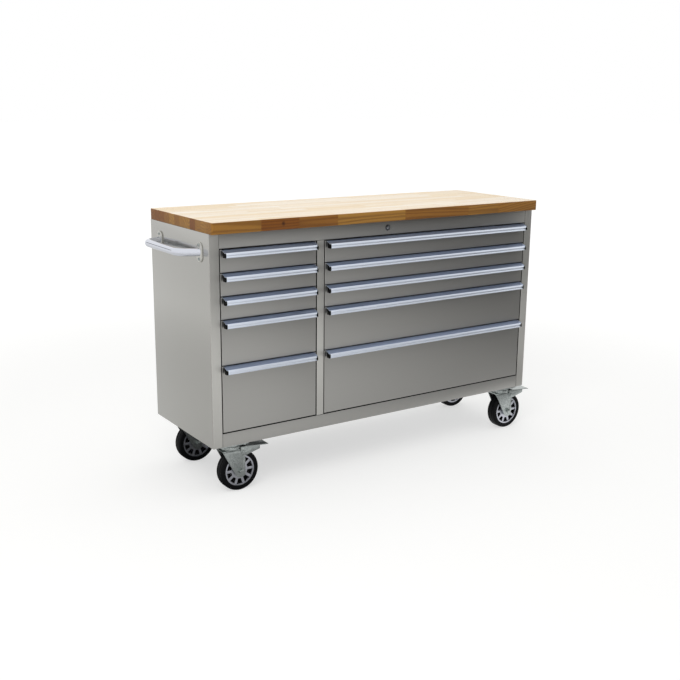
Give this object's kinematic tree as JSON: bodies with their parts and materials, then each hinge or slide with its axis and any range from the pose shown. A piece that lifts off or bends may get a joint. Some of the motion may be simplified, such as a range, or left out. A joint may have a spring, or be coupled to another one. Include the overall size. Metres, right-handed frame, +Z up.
{
  "type": "rolling tool chest",
  "caption": "Low rolling tool chest: brushed stainless cabinet with two columns of sliding drawers, a timber worktop, a side push handle and swivel casters.",
  "frame": {"origin": "on the floor, under the middle of the whole chest's box, wheels down", "axes": "+X to the right along the front, +Y from the drawer fronts to the back, +Z up"},
  "size_m": [1.5856, 0.491, 0.9655],
  "materials": {
    "stainless": "brushed",
    "inner_steel": "galvanised",
    "pull_aluminium": "bright anodised",
    "zinc_steel": "zinc plated",
    "chrome": "polished",
    "worktop_wood": "oiled",
    "hub_metal": "cast",
    "tyre_rubber": "matte",
    "black_plastic": "matte"
  },
  "bodies": {
    "cabinet": {"side_panel_left": "stainless", "side_panel_right": "stainless", "back_panel": "stainless", "base_pan": "inner_steel", "front_frame": "stainless", "centre_divider": "inner_steel", "slide_uprights": "inner_steel", "slide_rails": "zinc_steel", "worktop": "worktop_wood", "push_handle": "chrome", "handle_feet": "chrome", "fasteners": "zinc_steel", "lock_housing": "chrome", "caster_plates": "zinc_steel"},
    "lock_plug": {"lock_plug": "chrome"},
    "lock_bar": {"lock_bar": "zinc_steel"},
    "drawer_l1": {"drawer_l1_box": "stainless", "drawer_l1_pull": "pull_aluminium"},
    "drawer_l1_slides": {"drawer_l1_slides": "zinc_steel"},
    "drawer_l2": {"drawer_l2_box": "stainless", "drawer_l2_pull": "pull_aluminium"},
    "drawer_l2_slides": {"drawer_l2_slides": "zinc_steel"},
    "drawer_l3": {"drawer_l3_box": "stainless", "drawer_l3_pull": "pull_aluminium"},
    "drawer_l3_slides": {"drawer_l3_slides": "zinc_steel"},
    "drawer_l4": {"drawer_l4_box": "stainless", "drawer_l4_pull": "pull_aluminium"},
    "drawer_l4_slides": {"drawer_l4_slides": "zinc_steel"},
    "drawer_l5": {"drawer_l5_box": "stainless", "drawer_l5_pull": "pull_aluminium"},
    "drawer_l5_slides": {"drawer_l5_slides": "zinc_steel"},
    "drawer_r1": {"drawer_r1_box": "stainless", "drawer_r1_pull": "pull_aluminium"},
    "drawer_r1_slides": {"drawer_r1_slides": "zinc_steel"},
    "drawer_r2": {"drawer_r2_box": "stainless", "drawer_r2_pull": "pull_aluminium"},
    "drawer_r2_slides": {"drawer_r2_slides": "zinc_steel"},
    "drawer_r3": {"drawer_r3_box": "stainless", "drawer_r3_pull": "pull_aluminium"},
    "drawer_r3_slides": {"drawer_r3_slides": "zinc_steel"},
    "drawer_r4": {"drawer_r4_box": "stainless", "drawer_r4_pull": "pull_aluminium"},
    "drawer_r4_slides": {"drawer_r4_slides": "zinc_steel"},
    "drawer_r5": {"drawer_r5_box": "stainless", "drawer_r5_pull": "pull_aluminium"},
    "drawer_r5_slides": {"drawer_r5_slides": "zinc_steel"},
    "fork_front_left": {"fork_front_left": "zinc_steel"},
    "wheel_front_left": {"hub_front_left": "hub_metal", "tyre_front_left": "tyre_rubber"},
    "fork_front_right": {"fork_front_right": "zinc_steel"},
    "wheel_front_right": {"hub_front_right": "hub_metal", "tyre_front_right": "tyre_rubber"},
    "fork_rear_left": {"fork_rear_left": "zinc_steel"},
    "wheel_rear_left": {"hub_rear_left": "hub_metal", "tyre_rear_left": "tyre_rubber"},
    "fork_rear_right": {"fork_rear_right": "zinc_steel"},
    "wheel_rear_right": {"hub_rear_right": "hub_metal", "tyre_rear_right": "tyre_rubber"},
    "pedal_front_left": {"pedal_front_left": "zinc_steel"},
    "pedal_front_right": {"pedal_front_right": "zinc_steel"}
  },
  "joints": [
    {"name": "drawer_l1_slide", "type": "slide", "parent": "cabinet", "child": "drawer_l1", "axis": [0, -1, 0], "range_m": [0, 0.38]},
    {"name": "drawer_l1_members_slide", "type": "slide", "parent": "cabinet", "child": "drawer_l1_slides", "axis": [0, -1, 0], "range_m": [0, 0.2]},
    {"name": "drawer_l2_slide", "type": "slide", "parent": "cabinet", "child": "drawer_l2", "axis": [0, -1, 0], "range_m": [0, 0.38]},
    {"name": "drawer_l2_members_slide", "type": "slide", "parent": "cabinet", "child": "drawer_l2_slides", "axis": [0, -1, 0], "range_m": [0, 0.2]},
    {"name": "drawer_l3_slide", "type": "slide", "parent": "cabinet", "child": "drawer_l3", "axis": [0, -1, 0], "range_m": [0, 0.38]},
    {"name": "drawer_l3_members_slide", "type": "slide", "parent": "cabinet", "child": "drawer_l3_slides", "axis": [0, -1, 0], "range_m": [0, 0.2]},
    {"name": "drawer_l4_slide", "type": "slide", "parent": "cabinet", "child": "drawer_l4", "axis": [0, -1, 0], "range_m": [0, 0.38]},
    {"name": "drawer_l4_members_slide", "type": "slide", "parent": "cabinet", "child": "drawer_l4_slides", "axis": [0, -1, 0], "range_m": [0, 0.2]},
    {"name": "drawer_l5_slide", "type": "slide", "parent": "cabinet", "child": "drawer_l5", "axis": [0, -1, 0], "range_m": [0, 0.38]},
    {"name": "drawer_l5_members_slide", "type": "slide", "parent": "cabinet", "child": "drawer_l5_slides", "axis": [0, -1, 0], "range_m": [0, 0.2]},
    {"name": "drawer_r1_slide", "type": "slide", "parent": "cabinet", "child": "drawer_r1", "axis": [0, -1, 0], "range_m": [0, 0.38]},
    {"name": "drawer_r1_members_slide", "type": "slide", "parent": "cabinet", "child": "drawer_r1_slides", "axis": [0, -1, 0], "range_m": [0, 0.2]},
    {"name": "drawer_r2_slide", "type": "slide", "parent": "cabinet", "child": "drawer_r2", "axis": [0, -1, 0], "range_m": [0, 0.38]},
    {"name": "drawer_r2_members_slide", "type": "slide", "parent": "cabinet", "child": "drawer_r2_slides", "axis": [0, -1, 0], "range_m": [0, 0.2]},
    {"name": "drawer_r3_slide", "type": "slide", "parent": "cabinet", "child": "drawer_r3", "axis": [0, -1, 0], "range_m": [0, 0.38]},
    {"name": "drawer_r3_members_slide", "type": "slide", "parent": "cabinet", "child": "drawer_r3_slides", "axis": [0, -1, 0], "range_m": [0, 0.2]},
    {"name": "drawer_r4_slide", "type": "slide", "parent": "cabinet", "child": "drawer_r4", "axis": [0, -1, 0], "range_m": [0, 0.38]},
    {"name": "drawer_r4_members_slide", "type": "slide", "parent": "cabinet", "child": "drawer_r4_slides", "axis": [0, -1, 0], "range_m": [0, 0.2]},
    {"name": "drawer_r5_slide", "type": "slide", "parent": "cabinet", "child": "drawer_r5", "axis": [0, -1, 0], "range_m": [0, 0.38]},
    {"name": "drawer_r5_members_slide", "type": "slide", "parent": "cabinet", "child": "drawer_r5_slides", "axis": [0, -1, 0], "range_m": [0, 0.2]},
    {"name": "swivel_front_left", "type": "hinge", "parent": "cabinet", "child": "fork_front_left", "pos_m": [-0.62575, -0.1775, 0.1625], "axis": [0, 0, 1], "continuous": true},
    {"name": "wheel_front_left_spin", "type": "hinge", "parent": "fork_front_left", "child": "wheel_front_left", "pos_m": [-0.59875, -0.1775, 0.075], "axis": [0, 1, 0], "continuous": true},
    {"name": "swivel_front_right", "type": "hinge", "parent": "cabinet", "child": "fork_front_right", "pos_m": [0.65525, -0.1775, 0.1625], "axis": [0, 0, 1], "continuous": true},
    {"name": "wheel_front_right_spin", "type": "hinge", "parent": "fork_front_right", "child": "wheel_front_right", "pos_m": [0.68225, -0.1775, 0.075], "axis": [0, 1, 0], "continuous": true},
    {"name": "swivel_rear_left", "type": "hinge", "parent": "cabinet", "child": "fork_rear_left", "pos_m": [-0.62575, 0.1655, 0.1625], "axis": [0, 0, 1], "continuous": true},
    {"name": "wheel_rear_left_spin", "type": "hinge", "parent": "fork_rear_left", "child": "wheel_rear_left", "pos_m": [-0.59875, 0.1655, 0.075], "axis": [0, 1, 0], "continuous": true},
    {"name": "swivel_rear_right", "type": "hinge", "parent": "cabinet", "child": "fork_rear_right", "pos_m": [0.65525, 0.1655, 0.1625], "axis": [0, 0, 1], "continuous": true},
    {"name": "wheel_rear_right_spin", "type": "hinge", "parent": "fork_rear_right", "child": "wheel_rear_right", "pos_m": [0.68225, 0.1655, 0.075], "axis": [0, 1, 0], "continuous": true},
    {"name": "brake_pedal_front_left", "type": "hinge", "parent": "fork_front_left", "child": "pedal_front_left", "pos_m": [-0.58775, -0.1775, 0.146], "axis": [0, 1, 0], "range_deg": [0, 20]},
    {"name": "brake_pedal_front_right", "type": "hinge", "parent": "fork_front_right", "child": "pedal_front_right", "pos_m": [0.69325, -0.1775, 0.146], "axis": [0, 1, 0], "range_deg": [0, 20]},
    {"name": "lock_bar_slide", "type": "slide", "parent": "cabinet", "child": "lock_bar", "axis": [-1, 0, 0], "range_m": [0, 0.01697]},
    {"name": "lock_plug_turn", "type": "hinge", "parent": "cabinet", "child": "lock_plug", "pos_m": [0.01475, -0.2205, 0.90075], "axis": [0, 1, 0], "range_deg": [0, 90]}
  ],
  "couplings": [
    {"joint": "drawer_l1_members_slide", "follows": "drawer_l1_slide", "ratio": 0.5},
    {"joint": "drawer_l2_members_slide", "follows": "drawer_l2_slide", "ratio": 0.5},
    {"joint": "drawer_l3_members_slide", "follows": "drawer_l3_slide", "ratio": 0.5},
    {"joint": "drawer_l4_members_slide", "follows": "drawer_l4_slide", "ratio": 0.5},
    {"joint": "drawer_l5_members_slide", "follows": "drawer_l5_slide", "ratio": 0.5},
    {"joint": "drawer_r1_members_slide", "follows": "drawer_r1_slide", "ratio": 0.5},
    {"joint": "drawer_r2_members_slide", "follows": "drawer_r2_slide", "ratio": 0.5},
    {"joint": "drawer_r3_members_slide", "follows": "drawer_r3_slide", "ratio": 0.5},
    {"joint": "drawer_r4_members_slide", "follows": "drawer_r4_slide", "ratio": 0.5},
    {"joint": "drawer_r5_members_slide", "follows": "drawer_r5_slide", "ratio": 0.5},
    {"joint": "lock_plug_turn", "follows": "lock_bar_slide", "rad_per_m": 92.5}
  ]
}
